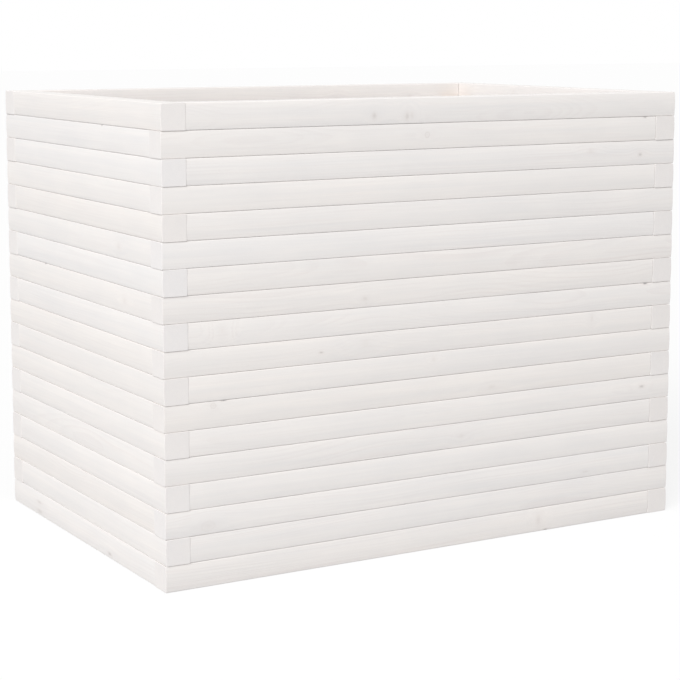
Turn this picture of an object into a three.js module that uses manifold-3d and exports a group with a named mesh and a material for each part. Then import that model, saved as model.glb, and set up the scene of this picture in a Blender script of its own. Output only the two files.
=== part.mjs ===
// A tall box planter of white-stained pine. Square boards are stacked in courses whose ends lap at the
// corners, first one wall's board and then the next wall's. Four posts inside the corners tie the courses
// together, and bearers between the posts carry a slatted floor.
//
// Millimetres, +Z up. The long front wall faces -Y, and the origin is on the ground under the middle.

import * as THREE from 'three';
import { mergeVertices } from 'three/addons/utils/BufferGeometryUtils.js';
import Module from 'manifold-3d';

const wasm = await Module();
wasm.setup();

// ---- Driving dimensions ----

// The box, over its outer faces
const BOX_LENGTH = 900;
const BOX_WIDTH = 600;

// The wall boards
const COURSE_COUNT = 18;
const BOARD_HEIGHT = 38;
const BOARD_THICKNESS = 38;
const BOARD_ARRIS = 2.5; // the flat that eases each edge of a board

// A short stack of one wall's boards is one node. A part has room for 60 nodes, and the walls have 72 boards.
const COURSES_IN_A_STACK = 2;

// The corner posts
const POST_SIZE = 38;
const POST_TOP_BELOW_RIM = 24;

// The bearers under the floor, cut from the boards' own stock
const BEARER_WIDTH = BOARD_THICKNESS;
const BEARER_DEPTH = BOARD_HEIGHT;
const COURSES_UNDER_BEARERS = 1; // the bearers start level with the top of this course

// The floor
const SLAT_WIDTH = 94;
const SLAT_THICKNESS = 18;
const SLAT_LEAST_GAP = 8; // the drainage gap is at least this, and as even as the floor's length allows
const FLOOR_CLEARANCE = 2; // slat to wall
const NOTCH_CLEARANCE = 1; // slat to post

// The posts, bearers and slats
const FRAME_ARRIS = 2;

// ---- Finishes ----

const FINISHES = {
  boards: { color: 0xe9e6e3, roughness: 0.6, metalness: 0 },
  posts: { color: 0xe6e2de, roughness: 0.65, metalness: 0 },
  bearers: { color: 0xe4dfda, roughness: 0.7, metalness: 0 },
  slats: { color: 0xe4dfda, roughness: 0.7, metalness: 0 },
};

// ---- Sizes that follow ----

// Meshes hold 32-bit numbers. Sizes on this grid are exact in them, so faces that touch share one plane.
const GRID = 1 / 256;

function onGrid(size) {
  return Math.round(size / GRID) * GRID;
}

const boxLength = onGrid(BOX_LENGTH);
const boxWidth = onGrid(BOX_WIDTH);
const boardHeight = onGrid(BOARD_HEIGHT);
const boardThickness = onGrid(BOARD_THICKNESS);
const rimHeight = COURSE_COUNT * boardHeight;
const postSize = onGrid(POST_SIZE);
const postHeight = rimHeight - onGrid(POST_TOP_BELOW_RIM);
const bearerWidth = onGrid(BEARER_WIDTH);
const bearerDepth = onGrid(BEARER_DEPTH);
const bearerLift = COURSES_UNDER_BEARERS * boardHeight;

// Half the length and width of the space between the walls, and of the space between the posts
const insideX = boxLength / 2 - boardThickness;
const insideY = boxWidth / 2 - boardThickness;
const betweenPostsX = insideX - postSize;
const betweenPostsY = insideY - postSize;

const slatWidth = onGrid(SLAT_WIDTH);
const slatThickness = onGrid(SLAT_THICKNESS);
const slatLength = 2 * (insideY - onGrid(FLOOR_CLEARANCE));
const floorLength = 2 * (insideX - onGrid(FLOOR_CLEARANCE));
const slatCount = Math.floor((floorLength + SLAT_LEAST_GAP) / (slatWidth + SLAT_LEAST_GAP));
const slatPitch = onGrid((floorLength - slatWidth) / (slatCount - 1));

// ---- Shapes ----

// A block with every edge eased, its lowest corner at the origin
function easedBlock(sizeX, sizeY, sizeZ, arris) {
  const outline = new THREE.Shape();
  outline.moveTo(arris, 0);
  outline.lineTo(sizeX - arris, 0);
  outline.lineTo(sizeX, arris);
  outline.lineTo(sizeX, sizeY - arris);
  outline.lineTo(sizeX - arris, sizeY);
  outline.lineTo(arris, sizeY);
  outline.lineTo(0, sizeY - arris);
  outline.lineTo(0, arris);
  const block = new THREE.ExtrudeGeometry(outline, {
    depth: sizeZ - 2 * arris,
    bevelSegments: 1,
    bevelThickness: arris,
    bevelSize: arris,
    bevelOffset: -arris,
  });
  return block.translate(0, 0, arris);
}

function toSolid(geometry) {
  const bare = geometry.clone();
  bare.deleteAttribute('normal');
  bare.deleteAttribute('uv');
  const merged = mergeVertices(bare);
  const mesh = new wasm.Mesh({
    numProp: 3,
    vertProperties: merged.attributes.position.array,
    triVerts: Uint32Array.from(merged.index.array),
  });
  return new wasm.Manifold(mesh);
}

function toGeometry(solid) {
  const { vertProperties, triVerts } = solid.getMesh();
  const geometry = new THREE.BufferGeometry();
  geometry.setAttribute('position', new THREE.BufferAttribute(vertProperties, 3));
  geometry.setIndex(new THREE.BufferAttribute(triVerts, 1));
  geometry.computeVertexNormals();
  return geometry;
}

function joined(geometries) {
  return toGeometry(geometries.map(toSolid).reduce((whole, next) => whole.add(next)));
}

function cutAway(geometry, cutters) {
  return toGeometry(cutters.map(toSolid).reduce((rest, next) => rest.subtract(next), toSolid(geometry)));
}

function piece(name, finish, geometry, x, y, z) {
  const mesh = new THREE.Mesh(geometry, new THREE.MeshStandardMaterial(FINISHES[finish]));
  mesh.name = name;
  mesh.position.set(x, y, z);
  return mesh;
}

// ---- The walls ----

// One board of a wall, where it lies in its stack. Counted from the ground, the even boards start at the wall's
// own corner and the odd ones start behind the wall before it.
function wallBoard(wallLength, course, lowestCourse) {
  const start = course % 2 === 0 ? 0 : boardThickness;
  const board = easedBlock(wallLength - boardThickness, boardThickness, boardHeight, onGrid(BOARD_ARRIS));
  return board.translate(start, 0, (course - lowestCourse) * boardHeight);
}

// A wall of stacks. Unturned it runs along +X and its outer face looks to -Y, at outerFace from the middle.
function wall(name, wallLength, outerFace, turn) {
  const group = new THREE.Group();
  for (let lowest = 0; lowest < COURSE_COUNT; lowest += COURSES_IN_A_STACK) {
    const next = Math.min(lowest + COURSES_IN_A_STACK, COURSE_COUNT);
    const boards = [];
    for (let course = lowest; course < next; course += 1) {
      boards.push(wallBoard(wallLength, course, lowest));
    }
    const stackName = `${name}_boards_${lowest + 1}_to_${next}`;
    group.add(piece(stackName, 'boards', joined(boards), -wallLength / 2, -outerFace, lowest * boardHeight));
  }
  group.rotation.z = turn;
  return group;
}

function walls() {
  const group = new THREE.Group();
  group.add(wall('front', boxLength, boxWidth / 2, 0));
  group.add(wall('right', boxWidth, boxLength / 2, Math.PI / 2));
  group.add(wall('back', boxLength, boxWidth / 2, Math.PI));
  group.add(wall('left', boxWidth, boxLength / 2, -Math.PI / 2));
  return group;
}

// ---- The corner posts ----

function cornerPosts() {
  const group = new THREE.Group();
  const post = easedBlock(postSize, postSize, postHeight, onGrid(FRAME_ARRIS));
  group.add(piece('corner_post_front_left', 'posts', post, -insideX, -insideY, 0));
  group.add(piece('corner_post_front_right', 'posts', post, betweenPostsX, -insideY, 0));
  group.add(piece('corner_post_back_left', 'posts', post, -insideX, betweenPostsY, 0));
  group.add(piece('corner_post_back_right', 'posts', post, betweenPostsX, betweenPostsY, 0));
  return group;
}

// ---- The bearers ----

function bearers() {
  const group = new THREE.Group();
  const arris = onGrid(FRAME_ARRIS);
  const endFaceX = insideX - bearerWidth;
  const long = easedBlock(2 * betweenPostsX, bearerWidth, bearerDepth, arris);
  const end = easedBlock(bearerWidth, 2 * betweenPostsY, bearerDepth, arris);
  const middle = easedBlock(2 * endFaceX, bearerWidth, bearerDepth, arris);
  group.add(piece('long_bearer_front', 'bearers', long, -betweenPostsX, -insideY, 0));
  group.add(piece('long_bearer_back', 'bearers', long, -betweenPostsX, insideY - bearerWidth, 0));
  group.add(piece('end_bearer_left', 'bearers', end, -insideX, -betweenPostsY, 0));
  group.add(piece('end_bearer_right', 'bearers', end, endFaceX, -betweenPostsY, 0));
  group.add(piece('middle_bearer', 'bearers', middle, -endFaceX, -bearerWidth / 2, 0));
  group.position.z = bearerLift;
  return group;
}

// ---- The floor ----

// What a slat leaves free for the posts where it runs between them, in the frame of a slat that starts at left
function notchesFor(left) {
  const reach = postSize + onGrid(NOTCH_CLEARANCE);
  const cutters = [];
  for (const side of [-1, 1]) {
    for (const end of [-1, 1]) {
      const cutter = new THREE.BoxGeometry(2 * reach, 2 * reach, 3 * slatThickness);
      cutter.translate(side * insideX - left, end * insideY + slatLength / 2, slatThickness / 2);
      cutters.push(cutter);
    }
  }
  return cutters;
}

function floorSlats() {
  const group = new THREE.Group();
  const firstLeft = -((slatCount - 1) * slatPitch + slatWidth) / 2;
  for (let slat = 0; slat < slatCount; slat += 1) {
    const left = firstLeft + slat * slatPitch;
    const board = easedBlock(slatWidth, slatLength, slatThickness, onGrid(FRAME_ARRIS));
    const notched = cutAway(board, notchesFor(left));
    group.add(piece(`floor_slat_${slat + 1}`, 'slats', notched, left, -slatLength / 2, 0));
  }
  group.position.z = bearerLift + bearerDepth;
  return group;
}

// ---- The planter ----

const planter = new THREE.Group();
planter.add(walls());
planter.add(cornerPosts());
planter.add(bearers());
planter.add(floorSlats());

export default planter;
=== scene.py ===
"""A tall planter box of white-stained pine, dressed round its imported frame.

The walls are courses of square boards that lap at the corners. Each board, post, bearer and floor slat is a
planed timber of its own, with eased edges, its own run of growth rings and its own knots under a thin white
stain. Everything is in metres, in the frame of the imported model.
"""

import logging
import math
import random
from dataclasses import dataclass, replace
from enum import Enum

import bmesh
import bpy
from mathutils import Euler, Matrix, Vector, noise

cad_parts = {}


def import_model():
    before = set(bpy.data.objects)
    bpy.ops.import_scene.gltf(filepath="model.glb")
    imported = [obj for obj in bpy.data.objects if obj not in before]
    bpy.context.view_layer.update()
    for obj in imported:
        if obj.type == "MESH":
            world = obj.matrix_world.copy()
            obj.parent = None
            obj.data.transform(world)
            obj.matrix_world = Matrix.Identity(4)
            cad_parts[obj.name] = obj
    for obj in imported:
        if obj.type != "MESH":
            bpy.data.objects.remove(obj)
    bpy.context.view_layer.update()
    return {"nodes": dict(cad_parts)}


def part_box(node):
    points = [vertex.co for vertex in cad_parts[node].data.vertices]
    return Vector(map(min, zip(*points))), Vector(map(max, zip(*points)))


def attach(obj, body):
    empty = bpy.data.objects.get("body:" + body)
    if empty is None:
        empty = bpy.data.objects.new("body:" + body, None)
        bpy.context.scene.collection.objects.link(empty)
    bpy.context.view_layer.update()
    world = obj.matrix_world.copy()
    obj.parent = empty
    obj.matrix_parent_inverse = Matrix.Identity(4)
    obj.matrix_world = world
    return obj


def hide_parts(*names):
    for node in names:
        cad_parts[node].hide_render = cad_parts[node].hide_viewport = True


LOG = logging.getLogger("planter")

ROOT_BODY = "root"
MILLIMETRE = 0.001
NO_MATERIAL = -1
SHARP_ANGLE = math.radians(45)
ROUND_PROFILE = 0.5
ALONG_SHARE = 0.9

# The names of what a timber's mesh tells its finish
GRAIN = "grain"
TONE = "tone"
END_GRAIN = "end_grain"
FIGURE = "figure"
KNOTS = ("knot_1", "knot_2", "knot_3")
KNOT_DARKNESS = "knot_darkness"
KNOT_WIDTH = "knot_width"
KNOT_HOLLOW = "knot_hollow"

Socket = bpy.types.NodeSocket
Value = float | tuple | Socket


# ---- Nodes -----------------------------------------------------------------------------------------------


class NodeBench:
    """Adds and links the nodes of one material or world in short words."""

    def __init__(self, tree: bpy.types.NodeTree) -> None:
        """Clear the tree and keep it.

        Args:
            tree: the node tree to build in.
        """
        self.tree = tree
        tree.nodes.clear()

    def add(self, kind: str, **settings: object) -> bpy.types.Node:
        """Add a node.

        Args:
            kind: the node's type name.
            **settings: the node's own properties.

        Returns:
            The new node.
        """
        node = self.tree.nodes.new(kind)
        for name, value in settings.items():
            setattr(node, name, value)
        return node

    def put(self, socket: Socket, value: Value) -> None:
        """Link a socket to another one, or write a plain value on it.

        Args:
            socket: the input to fill.
            value: an output socket or a plain value.
        """
        if isinstance(value, bpy.types.NodeSocket):
            self.tree.links.new(value, socket)
        else:
            socket.default_value = value

    def math(self, operation: str, *values: Value) -> Socket:
        """Add a Math node.

        Args:
            operation: the node's operation.
            *values: its inputs in order.

        Returns:
            The result.
        """
        node = self.add("ShaderNodeMath", operation=operation)
        for socket, value in zip(node.inputs, values):
            self.put(socket, value)
        return node.outputs[0]

    def vector(self, operation: str, *values: Value) -> Socket:
        """Add a Vector Math node.

        Args:
            operation: the node's operation.
            *values: its inputs in order.

        Returns:
            The result, a vector.
        """
        node = self.add("ShaderNodeVectorMath", operation=operation)
        for socket, value in zip(node.inputs, values):
            self.put(socket, value)
        return node.outputs[0]

    def length(self, x: Value, y: Value) -> Socket:
        """Return the length of the flat vector x, y."""
        return self.math("SQRT", self.math("ADD", self.math("MULTIPLY", x, x), self.math("MULTIPLY", y, y)))

    def span(self, value: Value, at_zero: float, at_one: float) -> Socket:
        """Return a number that goes from at_zero to at_one as a value goes from 0 to 1."""
        return self.math("MULTIPLY_ADD", value, at_one - at_zero, at_zero)

    def split(self, vector: Socket) -> tuple[Socket, Socket, Socket]:
        """Take a vector apart.

        Args:
            vector: the vector.

        Returns:
            Its x, y and z.
        """
        node = self.add("ShaderNodeSeparateXYZ")
        self.put(node.inputs[0], vector)
        return node.outputs[0], node.outputs[1], node.outputs[2]

    def join(self, x: Value, y: Value, z: Value) -> Socket:
        """Put a vector together.

        Args:
            x: its first part.
            y: its second part.
            z: its third part.

        Returns:
            The vector.
        """
        node = self.add("ShaderNodeCombineXYZ")
        for socket, value in zip(node.inputs, (x, y, z)):
            self.put(socket, value)
        return node.outputs[0]

    def attribute(self, name: str) -> Socket:
        """Return a mesh attribute as a vector."""
        return self.add("ShaderNodeAttribute", attribute_name=name).outputs["Vector"]

    def noise(self, vector: Value, scale: tuple[float, float, float], detail: float = 2.0) -> Socket:
        """Add a 3-D noise.

        Args:
            vector: where it is read, in metres.
            scale: how many waves a metre holds along each axis.
            detail: how many finer waves are laid on the first.

        Returns:
            The noise, about 0 to 1 round 0.5.
        """
        node = self.add("ShaderNodeTexNoise", noise_dimensions="3D")
        self.put(node.inputs["Vector"], self.vector("MULTIPLY", vector, scale))
        node.inputs["Scale"].default_value = 1.0
        node.inputs["Detail"].default_value = detail
        return node.outputs["Fac"]

    def ease(self, value: Value, low: float, high: float) -> Socket:
        """Rise softly from 0 to 1 as a value goes from low to high.

        Args:
            value: what is read.
            low: where the rise starts.
            high: where it ends, which may be below low.

        Returns:
            The eased value, 0 to 1.
        """
        node = self.add("ShaderNodeMapRange", interpolation_type="SMOOTHSTEP", clamp=True)
        for socket, number in zip(node.inputs, (value, low, high, 0.0, 1.0)):
            self.put(socket, number)
        return node.outputs[0]

    def blend(self, factor: Value, first: Value, second: Value, how: str = "MIX") -> Socket:
        """Mix two colours.

        Args:
            factor: how much of the second shows.
            first: the colour beneath.
            second: the colour on top.
            how: the blend type.

        Returns:
            The mixed colour.
        """
        # A Mix node has a pair of inputs for each kind of data, and its colours are inputs 6 and 7
        node = self.add("ShaderNodeMix", data_type="RGBA", blend_type=how, clamp_factor=True)
        self.put(node.inputs[0], factor)
        self.put(node.inputs[6], first)
        self.put(node.inputs[7], second)
        return node.outputs[2]


def srgb(red: float, green: float, blue: float) -> tuple[float, float, float, float]:
    """Turn a colour as the eye reads it on a screen, 0 to 255, into scene light.

    Args:
        red: the red part.
        green: the green part.
        blue: the blue part.

    Returns:
        The linear colour with full alpha.
    """
    def linear(part: float) -> float:
        """Return one part in linear light."""
        share = part / 255
        return share / 12.92 if share <= 0.04045 else ((share + 0.055) / 1.055) ** 2.4

    return linear(red), linear(green), linear(blue), 1.0


# ---- Finishes --------------------------------------------------------------------------------------------


@dataclass(frozen=True)
class StainedPine:
    """Planed pine under a thin, nearly opaque white stain that lets rings, streaks and knots show faintly.

    Fields that end in waves say how many waves of a pattern a metre holds, along the grain and across it.
    Pairs that end in rise, fall or reach say where something starts and ends, round a knot in shares of its
    radius.
    """

    name: str
    stain: tuple = srgb(237.2, 236, 236.5)
    # The colour of the sawn ends, near the stain on most timbers; the posts' far darker ends are partly
    # painted shade
    end_stain_and_shade: tuple = srgb(235.2, 234, 235.4)
    early_wood: tuple = srgb(228, 208, 182)
    late_wood: tuple = srgb(180, 132, 88)
    reddish_wood: tuple = srgb(186, 146, 116)
    knot_wood: tuple = srgb(66, 48, 38)
    warm_stain: tuple = srgb(238, 228, 218)
    cover: float = 0.885
    roughness: float = 0.56
    specular: float = 0.35
    relief: float = 0.12 * MILLIMETRE

    # The patterns
    fibre_waves: tuple = (9.0, 620.0, 620.0)
    streak_waves: tuple = (2.8, 115.0, 115.0)
    cloud_waves: tuple = (11.0, 26.0, 26.0)
    brush_waves: tuple = (14.0, 330.0, 330.0)

    # The knots
    ragged_waves: tuple = (300.0, 300.0, 300.0)
    raggedness: float = 0.8
    bend_reach: tuple = (6.5, 0.6)
    bend_high: float = -0.5
    bend_deep: float = 0.9
    heart_reach: tuple = (1.3, 0.1)
    heart_if_filled: float = 0.85
    heart_if_hollow: float = 0.10
    rim_rise: tuple = (0.55, 1.0)
    rim_fall: tuple = (1.5, 1.05)
    rim_if_filled: float = 0.2
    rim_if_hollow: float = 0.8
    halo_reach: tuple = (3.5, 0.8)
    halo_most: float = 0.35

    # The growth rings
    ring_width: float = 3.6 * MILLIMETRE
    ring_waver: float = 3.0 * MILLIMETRE
    ring_waves: tuple = (7.0, 34.0, 34.0)
    pith_waves: float = 1.9
    year_waves: float = 0.45
    year_unevenness: float = 1.6
    late_rise: tuple = (0.3, 0.88)
    late_fall: tuple = (1.0, 0.93)
    fading_waves: tuple = (3.0, 40.0, 40.0)
    fading_rise: tuple = (0.25, 0.75)

    # How strongly each shows, in the colour of the wood, in the cover of the stain and in its lightness
    fibre_middle: float = 0.45
    fibre_contrast: float = 1.35
    shown_on_ends: float = 0.4
    streak_cover: float = 0.12
    cloud_cover: float = 0.08
    knot_cover: float = -0.30
    streak_light: float = 0.13
    cloud_light: float = 0.09
    even_light: float = 0.105

    # How much each rises, in shares of the relief, and how much smoother it is
    late_height: float = 0.5
    fibre_height: float = 0.6
    brush_height: float = 0.8
    knot_height: float = -1.2
    late_gloss: float = 0.05
    streak_gloss: float = 0.1

    def material(self) -> bpy.types.Material:
        """Make the material, which reads the timber's own grain attributes.

        Returns:
            The material.
        """
        material = bpy.data.materials.new(self.name)
        material.use_nodes = True
        bench = NodeBench(material.node_tree)
        grain = bench.attribute(GRAIN)
        bent, core, halo = self._knots(bench, grain)
        late = self._rings(bench, bent)
        fibre = bench.noise(bent, self.fibre_waves, detail=3.0)
        streak = bench.noise(bent, self.streak_waves, detail=3.0)
        cloud = bench.noise(grain, self.cloud_waves)
        shader = bench.add("ShaderNodeBsdfPrincipled")
        bench.put(shader.inputs["Base Color"], self._colour(bench, late, (fibre, streak, cloud), core, halo))
        bench.put(shader.inputs["Roughness"], self._gloss(bench, late, streak))
        shader.inputs["Specular IOR Level"].default_value = self.specular
        bump = bench.add("ShaderNodeBump")
        bump.inputs["Strength"].default_value = 1.0
        bump.inputs["Distance"].default_value = self.relief
        bench.put(bump.inputs["Height"], self._height(bench, grain, late, fibre, core))
        bench.put(shader.inputs["Normal"], bump.outputs[0])
        output = bench.add("ShaderNodeOutputMaterial")
        bench.put(output.inputs["Surface"], shader.outputs[0])
        return material

    def _knots(self, bench: NodeBench, grain: Socket) -> tuple[Socket, Socket, Socket]:
        """Lay the knots, and bend the grain round them.

        Args:
            bench: where the nodes go.
            grain: the place in the timber, its x along the grain and its y and z from the pith.

        Returns:
            The bent place, how dark the knots are there, and the reddish wood round them.
        """
        along, deep, high = bench.split(grain)
        ragged = bench.math("SUBTRACT", bench.noise(grain, self.ragged_waves), 0.5)
        told = (KNOT_DARKNESS, KNOT_WIDTH, KNOT_HOLLOW)
        looks = zip(KNOTS, *(bench.split(bench.attribute(name)) for name in told))
        core, halo = 0.0, 0.0
        bent_high, bent_deep = high, deep
        for name, dark, width, hollow in looks:
            knot_along, knot_high, radius = bench.split(bench.attribute(name))
            wide = bench.math("MULTIPLY", radius, width)
            beside = bench.math("DIVIDE", bench.math("SUBTRACT", along, knot_along), wide)
            above = bench.math("DIVIDE", bench.math("SUBTRACT", high, knot_high), radius)
            away = bench.math("MULTIPLY_ADD", ragged, self.raggedness, bench.length(beside, above))
            push = bench.math("MULTIPLY", bench.ease(away, *self.bend_reach), radius)
            push_high = bench.math("MULTIPLY", push, above)
            bent_high = bench.math("MULTIPLY_ADD", push_high, self.bend_high, bent_high)
            bent_deep = bench.math("MULTIPLY_ADD", push, self.bend_deep, bent_deep)
            filled = bench.span(hollow, self.heart_if_filled, self.heart_if_hollow)
            heart = bench.math("MULTIPLY", bench.ease(away, *self.heart_reach), filled)
            rim = bench.math("MULTIPLY", bench.ease(away, *self.rim_rise), bench.ease(away, *self.rim_fall))
            rim = bench.math("MULTIPLY", rim, bench.span(hollow, self.rim_if_filled, self.rim_if_hollow))
            marked = bench.math("MULTIPLY", dark, bench.math("MAXIMUM", heart, rim))
            core = bench.math("MAXIMUM", core, marked)
            faint = bench.math("MINIMUM", dark, self.halo_most)
            round_it = bench.math("MULTIPLY", bench.ease(away, *self.halo_reach), faint)
            halo = bench.math("MAXIMUM", halo, round_it)
        return bench.join(along, bent_deep, bent_high), core, halo

    def _rings(self, bench: NodeBench, place: Socket) -> Socket:
        """Lay the growth rings round a pith that wanders along the timber.

        Args:
            bench: where the nodes go.
            place: the place in the timber, bent round its knots.

        Returns:
            The late wood, from 0 to 1.
        """
        along, deep, high = bench.split(place)
        wider, sway, strong = bench.split(bench.attribute(FIGURE))
        slow = bench.add("ShaderNodeTexNoise", noise_dimensions="1D")
        bench.put(slow.inputs["W"], bench.math("MULTIPLY", along, self.pith_waves))
        slow.inputs["Scale"].default_value = 1.0
        slow.inputs["Detail"].default_value = 1.5
        sway_deep, sway_high, _ = bench.split(slow.outputs["Color"])
        wavy = bench.noise(place, self.ring_waves)
        deep = bench.math("MULTIPLY_ADD", bench.math("SUBTRACT", sway_deep, 0.5), sway, deep)
        high = bench.math("MULTIPLY_ADD", bench.math("SUBTRACT", sway_high, 0.5), sway, high)
        reach = bench.math("MULTIPLY_ADD", wavy, self.ring_waver, bench.length(deep, high))
        year = bench.math("DIVIDE", reach, bench.math("MULTIPLY", wider, self.ring_width))
        uneven = bench.add("ShaderNodeTexNoise", noise_dimensions="1D")
        bench.put(uneven.inputs["W"], year)
        uneven.inputs["Scale"].default_value = self.year_waves
        uneven.inputs["Detail"].default_value = 1.0
        shifted = bench.math("MULTIPLY_ADD", uneven.outputs["Fac"], self.year_unevenness, year)
        phase = bench.math("FRACT", shifted)
        late = bench.math("MULTIPLY", bench.ease(phase, *self.late_rise), bench.ease(phase, *self.late_fall))
        faded = bench.ease(bench.noise(place, self.fading_waves, detail=1.0), *self.fading_rise)
        return bench.math("MULTIPLY", bench.math("MULTIPLY", late, strong), faded)

    def _colour(self, bench: NodeBench, late: Socket, streaks: tuple, core: Socket, halo: Socket) -> Socket:
        """Colour the wood and lay the stain on it.

        Args:
            bench: where the nodes go.
            late: the late wood.
            streaks: the fine fibres, the broad streaks and the clouds.
            core: how dark the knots are.
            halo: the reddish wood round the knots.

        Returns:
            The stained colour.
        """
        fibre, streak, cloud = streaks
        bright, warm, thick = bench.split(bench.attribute(TONE))
        sawn = bench.split(bench.attribute(END_GRAIN))[0]
        shown = bench.span(sawn, 1.0, self.shown_on_ends)
        fibres = bench.math("SUBTRACT", fibre, self.fibre_middle)
        fibres = bench.math("MULTIPLY", fibres, self.fibre_contrast)
        rings = bench.math("MULTIPLY", late, shown)
        wood = bench.blend(bench.math("ADD", rings, fibres), self.early_wood, self.late_wood)
        wood = bench.blend(halo, wood, self.reddish_wood)
        wood = bench.blend(core, wood, self.knot_wood)
        stain = bench.blend(sawn, self.stain, self.end_stain_and_shade)
        stain = bench.blend(warm, stain, self.warm_stain)
        middle = (self.streak_cover + self.cloud_cover) / 2
        thin = self._sum(bench, ((streak, self.streak_cover), (cloud, self.cloud_cover)), -middle)
        cover = bench.math("ADD", thick, self.cover)
        cover = bench.math("SUBTRACT", cover, bench.math("MULTIPLY", thin, shown))
        cover = bench.math("MULTIPLY_ADD", core, self.knot_cover, cover)
        lights = ((streak, self.streak_light), (cloud, self.cloud_light))
        strokes = self._sum(bench, lights, -self.even_light)
        lit = bench.math("MULTIPLY", bright, bench.math("MULTIPLY_ADD", strokes, shown, 1.0))
        return bench.blend(1.0, bench.blend(cover, wood, stain), bench.join(lit, lit, lit), "MULTIPLY")

    @staticmethod
    def _sum(bench: NodeBench, parts: tuple, start: float = 0.0) -> Socket:
        """Add up patterns, each with its own weight.

        Args:
            bench: where the nodes go.
            parts: pairs of a pattern and its weight.
            start: what the sum starts from.

        Returns:
            The sum.
        """
        total = start
        for pattern, weight in parts:
            total = bench.math("MULTIPLY_ADD", pattern, weight, total)
        return total

    def _height(self, bench: NodeBench, grain: Socket, late: Socket, fibre: Socket, core: Socket) -> Socket:
        """Raise the late wood and the brush marks, and sink the knots.

        Args:
            bench: where the nodes go.
            grain: the place in the timber.
            late: the late wood.
            fibre: the fine fibres.
            core: how dark the knots are.

        Returns:
            The height, in shares of the relief.
        """
        brush = bench.noise(grain, self.brush_waves)
        wood = ((late, self.late_height), (fibre, self.fibre_height))
        return self._sum(bench, (*wood, (brush, self.brush_height), (core, self.knot_height)))

    def _gloss(self, bench: NodeBench, late: Socket, streak: Socket) -> Socket:
        """Return the roughness, a little lower on hard late wood and in streaks."""
        return self._sum(bench, ((late, -self.late_gloss), (streak, -self.streak_gloss)), self.roughness)


@dataclass(frozen=True)
class ZincScrew:
    """Zinc-plated screw heads, satin, with faint passivation stains."""

    name: str
    metal: tuple = srgb(188, 188, 180)
    stained: tuple = srgb(160, 156, 138)
    blotch_waves: tuple = (240.0, 240.0, 240.0)
    blotch_rise: tuple = (0.4, 0.7)
    metallic: float = 0.9
    roughness: float = 0.38
    dullness: float = 0.15

    def material(self) -> bpy.types.Material:
        """Make the material.

        Returns:
            The material.
        """
        material = bpy.data.materials.new(self.name)
        material.use_nodes = True
        bench = NodeBench(material.node_tree)
        place = bench.add("ShaderNodeTexCoord").outputs["Object"]
        cloud = bench.noise(place, self.blotch_waves)
        shader = bench.add("ShaderNodeBsdfPrincipled")
        blotch = bench.ease(cloud, *self.blotch_rise)
        bench.put(shader.inputs["Base Color"], bench.blend(blotch, self.metal, self.stained))
        shader.inputs["Metallic"].default_value = self.metallic
        dull = bench.math("MULTIPLY_ADD", cloud, self.dullness, self.roughness)
        bench.put(shader.inputs["Roughness"], dull)
        output = bench.add("ShaderNodeOutputMaterial")
        bench.put(output.inputs["Surface"], shader.outputs[0])
        return material


# ---- Timbers ---------------------------------------------------------------------------------------------


@dataclass(frozen=True)
class Knot:
    """A knot seen on a timber's faces.

    Its darkness goes from 0, a faint smudge under the stain, to 1, dark, and past it for a hole. Its width
    is its size along the grain as a share of its height. A hollow knot shows as a ring.
    """

    along: float
    up: float
    radius: float
    darkness: float
    width: float = 1.15
    hollow: float = 0.0


NO_KNOT = Knot(along=-9.0, up=0.0, radius=0.001, darkness=0.0)


@dataclass(frozen=True)
class Grain:
    """How one timber was cut: where the pith of its log lies, how its rings run and how the stain took."""

    seed: int
    pith_deep: float
    pith_high: float
    wider: float
    sway: float
    strong: float
    bright: float
    warm: float
    thick: float

    @classmethod
    def drawn(cls, seed: int) -> "Grain":
        """Draw a timber's grain.

        Args:
            seed: the timber's own number.

        Returns:
            The drawn grain.
        """
        draw = random.Random(seed)
        return cls(
            seed=seed,
            pith_deep=draw.choice((-1, 1)) * draw.uniform(0.012, 0.085),
            pith_high=draw.uniform(-0.06, 0.10),
            wider=draw.uniform(0.7, 1.5),
            sway=draw.uniform(0.01, 0.07),
            strong=draw.uniform(0.15, 0.8),
            bright=draw.uniform(0.99, 1.0),
            warm=draw.uniform(0.04, 0.12),
            thick=draw.uniform(-0.012, 0.012),
        )


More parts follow.
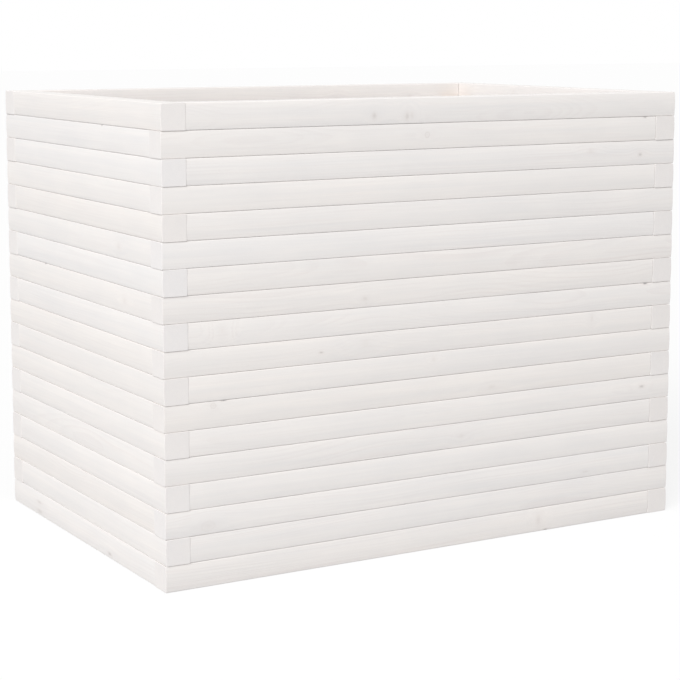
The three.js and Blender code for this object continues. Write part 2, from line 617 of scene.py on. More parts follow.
@dataclass(frozen=True)
class Timber:
    """A planed timber in its own frame: x along the grain, y inwards from its best face, z up.

    Its faces may be crowned, so that they fall away a little towards their edges, and its edges may waver.
    """

    name: str
    length: float
    depth: float
    height: float
    grain: Grain
    knots: tuple[Knot, ...] = ()
    notch: tuple[float, float] | None = None
    notch_at_depth: bool = False
    arris: float = 1.2 * MILLIMETRE
    arris_segments: int = 3
    end_arris: float = 0.6 * MILLIMETRE
    end_arris_segments: int = 2
    crown: float = 0.0
    crown_strips: int = 6
    crown_fade: float = 0.05
    waver: float = 0.0
    waver_step: float = 0.06
    waver_waves: float = 9.0
    waver_seed_step: float = 3.7
    edges_apart: float = 5.0
    shrink: float = 0.11 * MILLIMETRE
    log_step: float = 7.31

    def build(self, place: Matrix, finish: bpy.types.Material) -> bpy.types.Object:
        """Make the timber and put it in its place.

        Args:
            place: from the timber's own frame into the frame of the whole part.
            finish: its material.

        Returns:
            The finished object.
        """
        shape = bmesh.new()
        self._block(shape)
        self._ease_edges(shape)
        self._settle(shape)
        mesh = bpy.data.meshes.new(self.name)
        bmesh.ops.recalc_face_normals(shape, faces=shape.faces[:])
        shape.to_mesh(mesh)
        shape.free()
        self._tell_grain(mesh)
        mesh.transform(place)
        mesh.polygons.foreach_set("use_smooth", [True] * len(mesh.polygons))
        mesh.materials.append(finish)
        timber = bpy.data.objects.new(self.name, mesh)
        bpy.context.scene.collection.objects.link(timber)
        even = timber.modifiers.new("even_normals", "WEIGHTED_NORMAL")
        even.keep_sharp = False
        return timber

    def _outline(self) -> list[tuple[float, float]]:
        """Draw the timber as seen from above, with its notches.

        Returns:
            The corners, counterclockwise.
        """
        low, high = 0.0, self.length
        near, far = 0.0, self.depth
        if self.notch is None:
            return [(low, near), (high, near), (high, far), (low, far)]
        cut_along, cut_deep = self.notch
        inner = far - cut_deep
        points = [(low, near), (high, near), (high, inner)]
        points += [(high - cut_along, inner), (high - cut_along, far)]
        points += [(low + cut_along, far), (low + cut_along, inner), (low, inner)]
        if self.notch_at_depth:
            return points
        return [(along, far - deep) for along, deep in reversed(points)]

    def _block(self, shape: bmesh.types.BMesh) -> None:
        """Raise the outline to the timber's height and cut it into strips.

        Args:
            shape: the mesh to build in.
        """
        corners = [shape.verts.new((along, deep, 0.0)) for along, deep in self._outline()]
        floor = shape.faces.new(corners)
        raised = bmesh.ops.extrude_face_region(shape, geom=[floor])
        top = [part for part in raised["geom"] if isinstance(part, bmesh.types.BMVert)]
        bmesh.ops.translate(shape, verts=top, vec=(0.0, 0.0, self.height))
        if self.crown:
            for strip in range(1, self.crown_strips):
                level = self.height * strip / self.crown_strips
                self._slice(shape, Vector((0.0, 0.0, level)), Vector((0, 0, 1)))
        if self.waver:
            count = max(2, round(self.length / self.waver_step))
            for cut in range(1, count):
                self._slice(shape, Vector((self.length * cut / count, 0.0, 0.0)), Vector((1, 0, 0)))

    @staticmethod
    def _slice(shape: bmesh.types.BMesh, point: Vector, normal: Vector) -> None:
        """Cut a loop right round the timber, through a point and square to a direction."""
        everything = shape.verts[:] + shape.edges[:] + shape.faces[:]
        bmesh.ops.bisect_plane(shape, geom=everything, plane_co=point, plane_no=normal)

    def _ease_edges(self, shape: bmesh.types.BMesh) -> None:
        """Round the long edges, and then break the edges of the sawn ends and notches.

        Args:
            shape: the mesh to bevel.
        """
        bmesh.ops.recalc_face_normals(shape, faces=shape.faces[:])
        long = [edge for edge in self._sharp(shape) if self._runs_along(edge)]
        self._bevel(shape, long, self.arris, self.arris_segments)
        self._bevel(shape, self._sharp(shape), self.end_arris, self.end_arris_segments)

    @staticmethod
    def _sharp(shape: bmesh.types.BMesh) -> list[bmesh.types.BMEdge]:
        """Return the edges where two faces meet sharply."""
        return [edge for edge in shape.edges if edge.calc_face_angle(0.0) > SHARP_ANGLE]

    @staticmethod
    def _runs_along(edge: bmesh.types.BMEdge) -> bool:
        """Return whether an edge runs along the grain."""
        start, end = (vert.co for vert in edge.verts)
        return abs(end.x - start.x) > ALONG_SHARE * (end - start).length

    @staticmethod
    def _bevel(shape: bmesh.types.BMesh, edges: list, width: float, segments: int) -> None:
        """Round some edges.

        Args:
            shape: the mesh to bevel.
            edges: the edges to round.
            width: how far the rounding reaches from each edge.
            segments: how many faces it has.
        """
        bmesh.ops.bevel(
            shape,
            geom=edges,
            offset=width,
            segments=segments,
            profile=ROUND_PROFILE,
            affect="EDGES",
            material=NO_MATERIAL,
        )

    def _settle(self, shape: bmesh.types.BMesh) -> None:
        """Give the timber its crown, its uneven edges and the hair's breadth that it has dried.

        The crown of the far face fades out towards the ends, where that face meets other timbers.

        Args:
            shape: the mesh to move.
        """
        for vert in shape.verts:
            along, deep, high = vert.co
            across = 2.0 * high / self.height - 1.0
            outwards = 1.0 - 2.0 * deep / self.depth
            if outwards < 0.0:
                outwards *= min(1.0, along / self.crown_fade, (self.length - along) / self.crown_fade)
            edge = math.copysign(self.edges_apart, across)
            row = self.grain.seed * self.waver_seed_step
            ragged = 1.0 + noise.noise(Vector((along * self.waver_waves, row, edge)))
            shorter = self.shrink * (2.0 * along / self.length - 1.0)
            inwards = self.crown * across * across * outwards
            narrower = self.waver * ragged * abs(outwards) * across * abs(across)
            vert.co = (along - shorter, deep + inwards, high - narrower)

    def _tell_grain(self, mesh: bpy.types.Mesh) -> None:
        """Write what the finish reads: the place in the log, the knots, the tone and the end grain.

        Each timber is taken from its own stretch of one endless log.

        Args:
            mesh: the timber's mesh, still in its own frame.
        """
        shift = self.grain.seed * self.log_step
        pith = Vector((-shift, self.grain.pith_deep, self.grain.pith_high))
        self._write(mesh, GRAIN, [vert.co - pith for vert in mesh.vertices])
        count = len(mesh.vertices)
        self._write(mesh, TONE, [(self.grain.bright, self.grain.warm, self.grain.thick)] * count)
        self._write(mesh, FIGURE, [(self.grain.wider, self.grain.sway, self.grain.strong)] * count)
        shown = [*self.knots, *(NO_KNOT for _ in KNOTS)][: len(KNOTS)]
        for name, knot in zip(KNOTS, shown):
            told = (knot.along + shift, knot.up - self.grain.pith_high, knot.radius)
            self._write(mesh, name, [told] * count)
        self._write(mesh, KNOT_DARKNESS, [[knot.darkness for knot in shown]] * count)
        self._write(mesh, KNOT_WIDTH, [[knot.width for knot in shown]] * count)
        self._write(mesh, KNOT_HOLLOW, [[knot.hollow for knot in shown]] * count)
        ends = [self._is_end(vert.co) for vert in mesh.vertices]
        self._write(mesh, END_GRAIN, [(float(end), 0.0, 0.0) for end in ends])

    def _is_end(self, point: Vector) -> bool:
        """Return whether a point lies on one of the two sawn ends."""
        return min(point.x, self.length - point.x) < 0.5 * self.end_arris + self.shrink

    @staticmethod
    def _write(mesh: bpy.types.Mesh, name: str, vectors: list) -> None:
        """Write an attribute with one vector for each vertex."""
        attribute = mesh.attributes.new(name, "FLOAT_VECTOR", "POINT")
        attribute.data.foreach_set("vector", [part for vector in vectors for part in vector])


def placing(origin: Vector, along: Vector, inwards: Vector) -> Matrix:
    """Make the move from a timber's own frame to the frame of the whole part.

    Args:
        origin: where the timber's lowest corner goes.
        along: the direction of its grain.
        inwards: the direction away from its best face.

    Returns:
        The move.
    """
    turn = Matrix((along, inwards, along.cross(inwards))).transposed().to_4x4()
    return Matrix.Translation(origin) @ turn


def facing(at: Vector, out: Vector, turn: float) -> Matrix:
    """Place something flat so that it faces outwards.

    Args:
        at: where it goes.
        out: the direction that it faces.
        turn: how far it is turned about that direction, in degrees.

    Returns:
        The place.
    """
    faced = out.to_track_quat("Z", "Y").to_matrix().to_4x4()
    return Matrix.Translation(at) @ faced @ Matrix.Rotation(math.radians(turn), 4, "Z")


def starting(nodes: list[str], *starts: str) -> list[str]:
    """Return the nodes whose names start so, in order."""
    return sorted(node for node in nodes if node.startswith(starts))


def settle_in(piece: bpy.types.Object, nodes: list[str]) -> None:
    """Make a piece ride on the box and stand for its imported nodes.

    Args:
        piece: the finished object.
        nodes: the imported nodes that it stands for.
    """
    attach(piece, ROOT_BODY)
    if nodes:
        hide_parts(*nodes)
    LOG.info("made %s, %d faces", piece.name, len(piece.data.polygons))


# ---- Walls -----------------------------------------------------------------------------------------------


class Wall(Enum):
    """The four walls, each with the direction it runs in from its own corner."""

    FRONT = (1, 0)
    RIGHT = (0, 1)
    BACK = (-1, 0)
    LEFT = (0, -1)

    @property
    def word(self) -> str:
        """Return the wall's name in lower case."""
        return self.name.lower()

    @property
    def run(self) -> Vector:
        """Return the direction the wall runs in."""
        return Vector((self.value[0], self.value[1], 0.0))

    @property
    def inwards(self) -> Vector:
        """Return the direction from the wall into the box."""
        return Vector((-self.value[1], self.value[0], 0.0))


# The knots that show on the two walls in view, by wall and course from the ground. A knot lies so far from
# the wall's own corner and so far above the foot of its board.
SEEN_KNOTS = {
    (Wall.FRONT, 18): (
        Knot(0.339, 0.013, 0.0058, 0.62, 0.80),
        Knot(0.395, 0.011, 0.0066, 0.60, 0.66),
        Knot(0.4025, 0.012, 0.0058, 0.36, 0.70),
    ),
    (Wall.FRONT, 17): (Knot(0.430, 0.021, 0.0036, 0.55, 1.0, 0.72), Knot(0.840, 0.0368, 0.0018, 1.20, 2.6)),
    (Wall.FRONT, 16): (Knot(0.733, 0.025, 0.0040, 0.27, 1.8), Knot(0.831, 0.016, 0.0034, 0.86, 1.3)),
    (Wall.FRONT, 11): (Knot(0.324, 0.013, 0.0038, 0.44, 1.5), Knot(0.326, 0.006, 0.0020, 0.25)),
    (Wall.FRONT, 10): (Knot(0.091, 0.025, 0.0100, 0.12, 0.6), Knot(0.848, 0.0374, 0.0020, 1.80, 2.4)),
    (Wall.FRONT, 9): (
        Knot(0.250, 0.016, 0.0019, 0.85, 2.2),
        Knot(0.325, 0.023, 0.0080, 0.16),
        Knot(0.741, 0.027, 0.0060, 0.28, 0.6),
    ),
    (Wall.FRONT, 8): (Knot(0.444, 0.027, 0.0044, 0.26, 0.9),),
    (Wall.FRONT, 7): (
        Knot(0.550, 0.012, 0.0036, 0.28, 2.2),
        Knot(0.076, 0.032, 0.0034, 0.52, 1.1, 0.6),
        Knot(0.093, 0.0376, 0.0014, 1.40, 4.5),
    ),
    (Wall.FRONT, 6): (Knot(0.844, 0.022, 0.0028, 0.88, 2.1),),
    (Wall.FRONT, 5): (Knot(0.495, 0.017, 0.0046, 0.24),),
    (Wall.FRONT, 3): (Knot(0.066, 0.012, 0.0060, 0.30, 1.6, 0.4), Knot(0.733, 0.009, 0.0018, 0.38, 4.5)),
    (Wall.FRONT, 1): (Knot(0.642, 0.018, 0.0100, 0.36, 0.50), Knot(0.656, 0.0012, 0.0016, 1.20, 3.5)),
    (Wall.LEFT, 17): (Knot(0.395, 0.0374, 0.0014, 1.30, 3.0),),
    (Wall.LEFT, 13): (Knot(0.452, 0.018, 0.0056, 0.26),),
    (Wall.LEFT, 11): (Knot(0.160, 0.0374, 0.0014, 1.30, 3.0), Knot(0.470, 0.018, 0.0060, 0.22)),
    (Wall.LEFT, 1): (
        Knot(0.114, 0.022, 0.0032, 0.60, 4.0),
        Knot(0.114, 0.007, 0.0036, 0.66, 4.0),
        Knot(0.400, 0.007, 0.0032, 0.90, 2.6),
    ),
}

# The boards in view that were cut flat to their rings, so that long arches run along them
ARCHED_BOARDS = ((Wall.FRONT, 17), (Wall.FRONT, 6), (Wall.LEFT, 12), (Wall.LEFT, 7))

# The boards in view on which the stain dried a little cooler, by wall and course from the ground
COOLER_BOARDS = (
    *((Wall.FRONT, course) for course in (2, 3, 13, 16)),
    *((Wall.LEFT, course) for course in (10, 12, 16, 17)),
)


@dataclass
class BoardWalls:
    """The four walls: courses of square boards that lap at the corners."""

    nodes: list[str]
    finish: bpy.types.Material
    slot: str = "board_pine"
    courses_in_a_stack: int = 2
    crown: float = 1.2 * MILLIMETRE
    waver: float = 0.12 * MILLIMETRE
    most_set_back: float = 0.25 * MILLIMETRE
    cut_short: float = 0.25 * MILLIMETRE
    most_drawn_knots: int = 2
    seeds_in_a_wall: int = 100
    set_back_seed: int = 5000
    arch_pith_deep: float = -30.0 * MILLIMETRE
    arch_pith_up: float = 0.55
    arch_sway: float = 30.0 * MILLIMETRE
    arch_strength: float = 0.45

    def build(self) -> None:
        """Make every board of every wall."""
        for wall in Wall:
            stacks = self._stacks(wall)
            for number, stack in enumerate(stacks):
                for step in range(self.courses_in_a_stack):
                    self._board(wall, stack, number * self.courses_in_a_stack + step)

    def _stacks(self, wall: Wall) -> list[str]:
        """Return a wall's packed stacks of boards, from the ground up."""
        return sorted(starting(self.nodes, wall.word + "_boards"), key=lambda node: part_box(node)[0].z)

    def _board(self, wall: Wall, stack: str, course: int) -> None:
        """Make one board.

        The long boards that butt against the right wall are cut a hair short, so that a thin joint shows.

        Args:
            wall: the wall that it belongs to.
            stack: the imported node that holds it.
            course: its course, counted from 0 at the ground.
        """
        low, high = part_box(stack)
        size = high - low
        across = min(size.x, size.y)
        height = size.z / self.courses_in_a_stack
        length = max(size.x, size.y) - across
        starts_behind = across * (course % 2)
        if wall is Wall.FRONT and not starts_behind:
            length -= self.cut_short
        if wall is Wall.BACK and starts_behind:
            starts_behind += self.cut_short
            length -= self.cut_short
        step = course % self.courses_in_a_stack
        seed = self.seeds_in_a_wall * list(Wall).index(wall) + course + 1
        draw = random.Random(seed + self.set_back_seed)
        set_back = draw.uniform(0.0, self.most_set_back)
        corner = self._own_corner(wall, low, high) + wall.run * starts_behind
        corner.z = low.z + step * height
        timber = Timber(
            name=f"{wall.word}_board_{course + 1:02d}",
            length=length,
            depth=across - set_back,
            height=height,
            grain=self._grain(wall, course + 1, seed, height),
            knots=self._knots(wall, course + 1, starts_behind, length, height, draw),
            crown=self.crown,
            waver=self.waver,
        )
        board = timber.build(placing(corner + wall.inwards * set_back, wall.run, wall.inwards), self.finish)
        settle_in(board, [stack])

    def _grain(self, wall: Wall, course: int, seed: int, height: float) -> Grain:
        """Draw a board's grain, and fit it to what is seen of the board.

        Args:
            wall: the board's wall.
            course: its course, counted from 1 at the ground.
            seed: its own number.
            height: its height.

        Returns:
            The grain.
        """
        grain = Grain.drawn(seed)
        if (wall, course) in COOLER_BOARDS:
            grain = replace(grain, warm=0.0)
        if (wall, course) in ARCHED_BOARDS:
            grain = replace(
                grain,
                pith_deep=self.arch_pith_deep,
                pith_high=self.arch_pith_up * height,
                sway=self.arch_sway,
                strong=self.arch_strength,
            )
        return grain

    @staticmethod
    def _own_corner(wall: Wall, low: Vector, high: Vector) -> Vector:
        """Return the outer corner that a wall starts from."""
        out = wall.run + wall.inwards
        return Vector((low.x if out.x > 0 else high.x, low.y if out.y > 0 else high.y, low.z))

    def _knots(
        self, wall: Wall, course: int, start: float, length: float, height: float, draw: random.Random
    ) -> tuple[Knot, ...]:
        """Give a board the knots that are seen on it, or draw some for the walls that aren't seen.

        Args:
            wall: the board's wall.
            course: its course, counted from 1 at the ground.
            start: how far from the wall's own corner it starts.
            length: its length.
            height: its height.
            draw: the board's own random numbers.

        Returns:
            The knots, in the board's own frame.
        """
        seen = SEEN_KNOTS.get((wall, course))
        if seen is not None:
            return tuple(replace(knot, along=knot.along - start) for knot in seen)
        if wall in (Wall.FRONT, Wall.LEFT):
            return ()
        return drawn_knots(draw, draw.randint(0, self.most_drawn_knots), length, height)


def drawn_knots(draw: random.Random, count: int, length: float, height: float) -> tuple[Knot, ...]:
    """Draw knots for a timber.

    Args:
        draw: the timber's own random numbers.
        count: how many.
        length: the timber's length.
        height: the timber's height.

    Returns:
        The knots.
    """
    knots = []
    for _ in range(count):
        along = draw.uniform(0.06, 0.94) * length
        up = draw.uniform(0.15, 0.85) * height
        knots.append(Knot(along, up, draw.uniform(2.0, 6.0) * MILLIMETRE, draw.uniform(0.1, 0.6)))
    return tuple(knots)


# ---- Inside ----------------------------------------------------------------------------------------------


@dataclass
class CornerPosts:
    """The four posts inside the corners, which every board is screwed to."""

    nodes: list[str]
    finish: bpy.types.Material
    slot: str = "post_pine"
    first_seed: int = 600
    knot_count: int = 2
    arris: float = 1.8 * MILLIMETRE

    def build(self) -> None:
        """Make the posts."""
        for number, name in enumerate(starting(self.nodes, "corner_post")):
            low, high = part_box(name)
            size = high - low
            draw = random.Random(self.first_seed + number)
            timber = Timber(
                name=name + "_timber",
                length=size.z,
                depth=size.x,
                height=size.y,
                grain=Grain.drawn(self.first_seed + number),
                knots=drawn_knots(draw, self.knot_count, size.z, size.y),
                arris=self.arris,
            )
            post = timber.build(placing(low, Vector((0, 0, 1)), Vector((1, 0, 0))), self.finish)
            settle_in(post, [name])


@dataclass
class FloorBearers:
    """The bearers between the posts, and the one under the middle of the floor."""

    nodes: list[str]
    finish: bpy.types.Material
    slot: str = "bearer_pine"
    first_seed: int = 650
    knot_count: int = 2
    arris: float = 1.8 * MILLIMETRE

    def build(self) -> None:
        """Make the bearers."""
        for number, name in enumerate(starting(self.nodes, "long_bearer", "end_bearer", "middle_bearer")):
            low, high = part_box(name)
            size = high - low
            lies_along_x = size.x > size.y
            length, depth = (size.x, size.y) if lies_along_x else (size.y, size.x)
            draw = random.Random(self.first_seed + number)
            timber = Timber(
                name=name + "_timber",
                length=length,
                depth=depth,
                height=size.z,
                grain=Grain.drawn(self.first_seed + number),
                knots=drawn_knots(draw, self.knot_count, length, size.z),
                arris=self.arris,
            )
            if lies_along_x:
                place = placing(low, Vector((1, 0, 0)), Vector((0, 1, 0)))
            else:
                place = placing(Vector((high.x, low.y, low.z)), Vector((0, 1, 0)), Vector((-1, 0, 0)))
            settle_in(timber.build(place, self.finish), [name])


@dataclass
class FloorSlats:
    """The slats of the floor, the two end ones notched round the posts."""

    nodes: list[str]
    finish: bpy.types.Material
    slot: str = "slat_pine"
    first_seed: int = 700
    knot_count: int = 3
    arris: float = 1.5 * MILLIMETRE
    notch_clearance: float = 1.0 * MILLIMETRE

    def build(self) -> None:
        """Make the slats."""
        names = sorted(starting(self.nodes, "floor_slat"), key=lambda node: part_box(node)[0].x)
        for number, name in enumerate(names):
            low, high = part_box(name)
            size = high - low
            draw = random.Random(self.first_seed + number)
            timber = Timber(
                name=name + "_timber",
                length=size.y,
                depth=size.x,
                height=size.z,
                grain=Grain.drawn(self.first_seed + number),
                knots=drawn_knots(draw, self.knot_count, size.y, size.z),
                notch=self._notch(low, high),
                notch_at_depth=low.x < 0,
                arris=self.arris,
            )
            place = placing(Vector((high.x, low.y, low.z)), Vector((0, 1, 0)), Vector((-1, 0, 0)))
            settle_in(timber.build(place, self.finish), [name])

    def _notch(self, low: Vector, high: Vector) -> tuple[float, float] | None:
        """Tell how far a post reaches into a slat.

        Args:
            low: the slat's lowest corner.
            high: its highest corner.

        Returns:
            The notch's size along the slat and across it, or None where no post reaches it.
        """
        side = "left" if low.x < 0 else "right"
        post_low, post_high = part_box("corner_post_back_" + side)
        across = post_high.x - low.x if side == "left" else high.x - post_low.x
        if across <= 0:
            return None
        return high.y - post_low.y + self.notch_clearance, across + self.notch_clearance


@dataclass
class Screws:
    """The countersunk screw heads inside: through the posts into every board, and through the slats."""

    nodes: list[str]
    finish: bpy.types.Material
    slot: str = "screw_steel"
    radius: float = 4.0 * MILLIMETRE
    recess_radius: float = 1.9 * MILLIMETRE
    recess_depth: float = 1.1 * MILLIMETRE
    rim_fall: float = 0.25 * MILLIMETRE
    proud: float = 0.15 * MILLIMETRE
    sides: int = 12
    lobe_share: float = 0.72
    cone_depth: float = 2.6 * MILLIMETRE
    cone_share: float = 0.45
    board_height: float = 38.0 * MILLIMETRE
    off_centre: float = 6.0 * MILLIMETRE
    from_post_top: float = 8.0 * MILLIMETRE
    from_slat_end: float = 19.0 * MILLIMETRE
    from_slat_side: float = 22.0 * MILLIMETRE

    # How far the drivers left the heads turned, in degrees
    turn_a_course: float = 40.0
    turn_a_slat: float = 35.0
    turn_a_metre_off_centre: float = 3000.0
    turn_a_metre_on_slats: float = 700.0

    def build(self) -> None:
        """Make the heads on each post and those on the slats."""
        for post in starting(self.nodes, "corner_post"):
            self._heads(post.replace("corner_post", "screws"), self._through_post(post))
        self._heads("screws_slats", self._through_slats())

    def _through_post(self, post: str) -> list[Matrix]:
        """Place the screws that run through a post into the boards of its two walls.

        Args:
            post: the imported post.

        Returns:
            The place of each head.
        """
        low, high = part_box(post)
        centre = (low + high) / 2
        inwards_x = Vector((-math.copysign(1.0, centre.x), 0.0, 0.0))
        inwards_y = Vector((0.0, -math.copysign(1.0, centre.y), 0.0))
        half = (high.x - low.x) / 2
        rim = max(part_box(node)[1].z for node in self.nodes)
        places = []
        for course in range(round(rim / self.board_height)):
            middle = (course + 0.5) * self.board_height
            for out, shift in ((inwards_x, self.off_centre), (inwards_y, -self.off_centre)):
                height = min(middle + shift, high.z - self.from_post_top)
                at = Vector((centre.x, centre.y, height)) + out * (half + self.proud)
                turn = self.turn_a_course * course + self.turn_a_metre_off_centre * shift
                places.append(facing(at, out, turn))
        return places

    def _through_slats(self) -> list[Matrix]:
        """Place the screws that hold the slats, two over each long bearer and two over the middle one.

        Returns:
            The place of each head.
        """
        up = Vector((0.0, 0.0, 1.0))
        places = []
        for number, slat in enumerate(starting(self.nodes, "floor_slat")):
            low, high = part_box(slat)
            for back in (low.y + self.from_slat_end, 0.0, high.y - self.from_slat_end):
                for along in (low.x + self.from_slat_side, high.x - self.from_slat_side):
                    at = Vector((along, back, high.z + self.proud))
                    turn = self.turn_a_slat * number + self.turn_a_metre_on_slats * (along + back)
                    places.append(facing(at, up, turn))
        return places

    def _heads(self, name: str, places: list[Matrix]) -> None:
        """Make one piece of many screw heads.

        Args:
            name: the piece's name.
            places: where each head goes.
        """
        pattern = self._one_head()
        shape = bmesh.new()
        for place in places:
            head = pattern.copy()
            head.transform(place)
            shape.from_mesh(head)
            bpy.data.meshes.remove(head)
        bpy.data.meshes.remove(pattern)
        mesh = bpy.data.meshes.new(name)
        shape.to_mesh(mesh)
        shape.free()
        mesh.materials.append(self.finish)
        heads = bpy.data.objects.new(name, mesh)
        bpy.context.scene.collection.objects.link(heads)
        settle_in(heads, [])

    def _one_head(self) -> bpy.types.Mesh:
        """Make a countersunk head that looks up: a flat disc over a cone, with a star recess for the driver.

        Returns:
            The head's mesh.
        """
        shape = bmesh.new()
        bmesh.ops.create_circle(shape, cap_ends=True, segments=self.sides, radius=self.radius)
        disc = shape.faces[:][0]
        rim = shape.edges[:]
        cone = bmesh.ops.extrude_edge_only(shape, edges=rim)
        tip = [part for part in cone["geom"] if isinstance(part, bmesh.types.BMVert)]
        bmesh.ops.scale(shape, verts=tip, vec=(self.cone_share, self.cone_share, 1.0))
        bmesh.ops.translate(shape, verts=tip, vec=(0.0, 0.0, -self.cone_depth))
        bmesh.ops.contextual_create(shape, geom=tip)
        bmesh.ops.inset_region(shape, faces=[disc], thickness=self.radius - self.recess_radius, depth=0.0)
        lobes = list(disc.verts)[::2]
        bmesh.ops.scale(shape, verts=lobes, vec=(self.lobe_share, self.lobe_share, 1.0))
        outer = [vert for vert in shape.verts if vert.co.z > -MILLIMETRE and vert not in disc.verts]
        bmesh.ops.translate(shape, verts=outer, vec=(0.0, 0.0, -self.rim_fall))
        sunk = bmesh.ops.extrude_face_region(shape, geom=[disc])
        floor = [part for part in sunk["geom"] if isinstance(part, bmesh.types.BMVert)]
        bmesh.ops.translate(shape, verts=floor, vec=(0.0, 0.0, -self.recess_depth))
        bmesh.ops.recalc_face_normals(shape, faces=shape.faces[:])
        mesh = bpy.data.meshes.new("screw_head")
        shape.to_mesh(mesh)
        shape.free()
        return mesh


# ---- Studio ----------------------------------------------------------------------------------------------


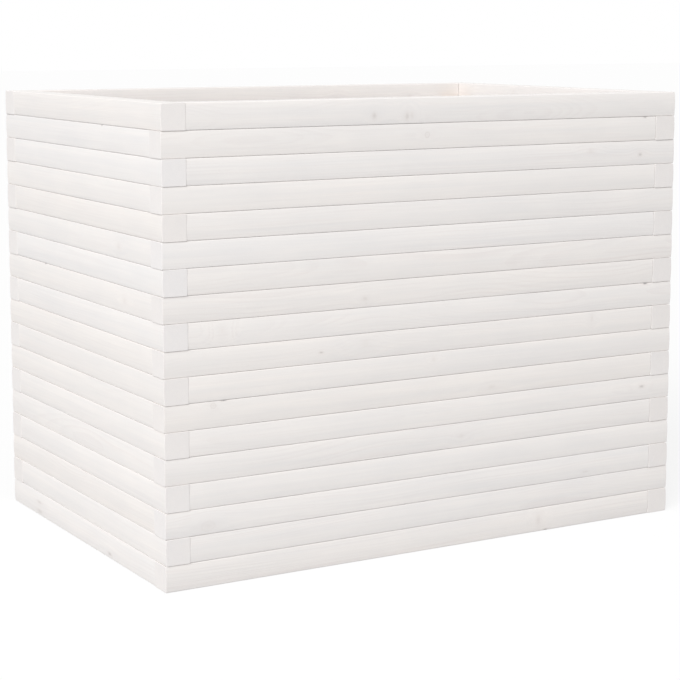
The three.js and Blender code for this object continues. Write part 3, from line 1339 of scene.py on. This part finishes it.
@dataclass
class Studio:
    """A white floor that keeps the box's shadow, a white world and two soft lamps."""

    floor_size: float = 60.0
    floor_shown: float = 0.9
    floor_bounce: float = 0.40
    floor_lift: float = 0.78
    under_box: tuple = (0.43, 0.28)
    ambient: float = 0.69
    key_from: tuple = (-1.05, -0.67, 0.95)
    key_angle: float = 35.0
    key_strength: float = 1.77
    fill_place: tuple = (-2.3, -3.1, 1.6)
    fill_size: float = 1.4
    fill_watts: float = 30.0
    aim: tuple = (0.0, 0.0, 0.35)

    def build(self) -> None:
        """Make the floor, the world and the lamps."""
        self._floor()
        self._world()
        self._key()
        self._fill()

    def _seen(self, bench: NodeBench) -> Socket:
        """Tell what the camera sees from what only lights the box.

        Args:
            bench: where the nodes go.

        Returns:
            1 for what the camera sees straight, in a mirror or through glass, otherwise 0.
        """
        path = bench.add("ShaderNodeLightPath")
        seen = bench.math("MAXIMUM", path.outputs["Is Camera Ray"], path.outputs["Is Glossy Ray"])
        return bench.math("MAXIMUM", seen, path.outputs["Is Transmission Ray"])

    def _outside(self, bench: NodeBench) -> Socket:
        """Tell the open floor from the ground that the box encloses, which stays in its shade.

        Args:
            bench: where the nodes go.

        Returns:
            1 on the open floor, 0 under the box.
        """
        x, y, _ = bench.split(bench.add("ShaderNodeTexCoord").outputs["Object"])
        past_ends = bench.math("GREATER_THAN", bench.math("ABSOLUTE", x), self.under_box[0])
        past_sides = bench.math("GREATER_THAN", bench.math("ABSOLUTE", y), self.under_box[1])
        return bench.math("MAXIMUM", past_ends, past_sides)

    def _floor(self) -> None:
        """Lay the floor, which the camera sees white with the box's soft shadow on it."""
        shape = bmesh.new()
        bmesh.ops.create_grid(shape, x_segments=1, y_segments=1, size=self.floor_size / 2)
        mesh = bpy.data.meshes.new("studio_floor")
        shape.to_mesh(mesh)
        shape.free()
        floor = bpy.data.objects.new("studio_floor", mesh)
        bpy.context.scene.collection.objects.link(floor)
        material = bpy.data.materials.new("studio_floor")
        material.use_nodes = True
        bench = NodeBench(material.node_tree)
        seen = bench.math("MULTIPLY", self._seen(bench), self._outside(bench))
        matt = bench.add("ShaderNodeBsdfDiffuse")
        shown = self.floor_shown * (1 - self.floor_lift)
        shade = bench.math("MULTIPLY_ADD", seen, shown - self.floor_bounce, self.floor_bounce)
        bench.put(matt.inputs["Color"], bench.join(shade, shade, shade))
        glow = bench.add("ShaderNodeEmission")
        bench.put(glow.inputs["Strength"], bench.math("MULTIPLY", seen, self.floor_lift))
        both = bench.add("ShaderNodeAddShader")
        bench.put(both.inputs[0], matt.outputs[0])
        bench.put(both.inputs[1], glow.outputs[0])
        output = bench.add("ShaderNodeOutputMaterial")
        bench.put(output.inputs["Surface"], both.outputs[0])
        mesh.materials.append(material)

    def _world(self) -> None:
        """Light the box evenly from all round, and show plain white behind it."""
        world = bpy.data.worlds.new("studio")
        bpy.context.scene.world = world
        world.use_nodes = True
        bench = NodeBench(world.node_tree)
        sky = bench.add("ShaderNodeBackground")
        strength = bench.add("ShaderNodeMix", data_type="FLOAT")
        bench.put(strength.inputs[0], self._seen(bench))
        bench.put(strength.inputs[2], self.ambient)
        bench.put(strength.inputs[3], 1.0)
        bench.put(sky.inputs["Strength"], strength.outputs[0])
        sky.inputs["Color"].default_value = (1.0, 1.0, 1.0, 1.0)
        output = bench.add("ShaderNodeOutputWorld")
        bench.put(output.inputs["Surface"], sky.outputs[0])

    def _key(self) -> None:
        """Light the box from high on its left, from so far away that all its boards are lit alike."""
        data = bpy.data.lights.new("key", "SUN")
        data.angle = math.radians(self.key_angle)
        data.energy = self.key_strength
        self._hang(data, Vector(self.aim) + Vector(self.key_from), Vector(self.aim))

    def _fill(self) -> None:
        """Set a soft square lamp before the near corner, which both walls fade away from."""
        data = bpy.data.lights.new("fill", "AREA")
        data.shape = "SQUARE"
        data.size = self.fill_size
        data.energy = self.fill_watts
        self._hang(data, Vector(self.fill_place), Vector(self.aim))

    @staticmethod
    def _hang(data: bpy.types.Light, place: Vector, aim: Vector) -> None:
        """Put a lamp in its place.

        Args:
            data: the lamp.
            place: where it hangs.
            aim: the point that it shines at.
        """
        lamp = bpy.data.objects.new(data.name, data)
        lamp.location = place
        lamp.rotation_mode = "QUATERNION"
        lamp.rotation_quaternion = (aim - place).to_track_quat("-Z", "Y")
        bpy.context.scene.collection.objects.link(lamp)


@dataclass
class ViewPoint:
    """The camera, to the left of the front and a little above the rim."""

    place: tuple = (-1.504, -2.590, 0.785)
    look_down: float = 7.512
    turn_right: float = 30.245
    focal_pixels: float = 1851.6
    picture_pixels: float = 680.0
    sensor: float = 36.0
    shift_down: float = 0.1

    def build(self) -> None:
        """Make the camera and look through it."""
        data = bpy.data.cameras.new("camera")
        data.sensor_width = self.sensor
        data.lens = self.sensor * self.focal_pixels / self.picture_pixels
        data.shift_y = -self.shift_down
        camera = bpy.data.objects.new("camera", data)
        camera.location = self.place
        turn = math.radians(-self.turn_right)
        camera.rotation_euler = Euler((math.radians(90 - self.look_down), 0.0, turn))
        bpy.context.scene.collection.objects.link(camera)
        bpy.context.scene.camera = camera


# ---- The whole -------------------------------------------------------------------------------------------


def main() -> None:
    """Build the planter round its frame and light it."""
    logging.basicConfig(level=logging.INFO, format="%(name)s: %(message)s")
    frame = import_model()
    nodes = list(frame["nodes"])
    ViewPoint().build()
    Studio().build()
    BoardWalls(nodes, StainedPine("board_pine").material()).build()
    # The posts' sawn ends are a dark, barely stained brown: partly raw end grain, partly painted shade that
    # dims the light their tops throw into the inside corners
    posts = StainedPine("post_pine", cover=0.88, end_stain_and_shade=srgb(172, 150, 130))
    CornerPosts(nodes, posts.material()).build()
    FloorBearers(nodes, StainedPine("bearer_pine", cover=0.86).material()).build()
    FloorSlats(nodes, StainedPine("slat_pine", cover=0.86).material()).build()
    Screws(nodes, ZincScrew("screw_steel").material()).build()
    bpy.context.scene.view_settings.view_transform = "Standard"


if __name__ == "__main__":
    main()
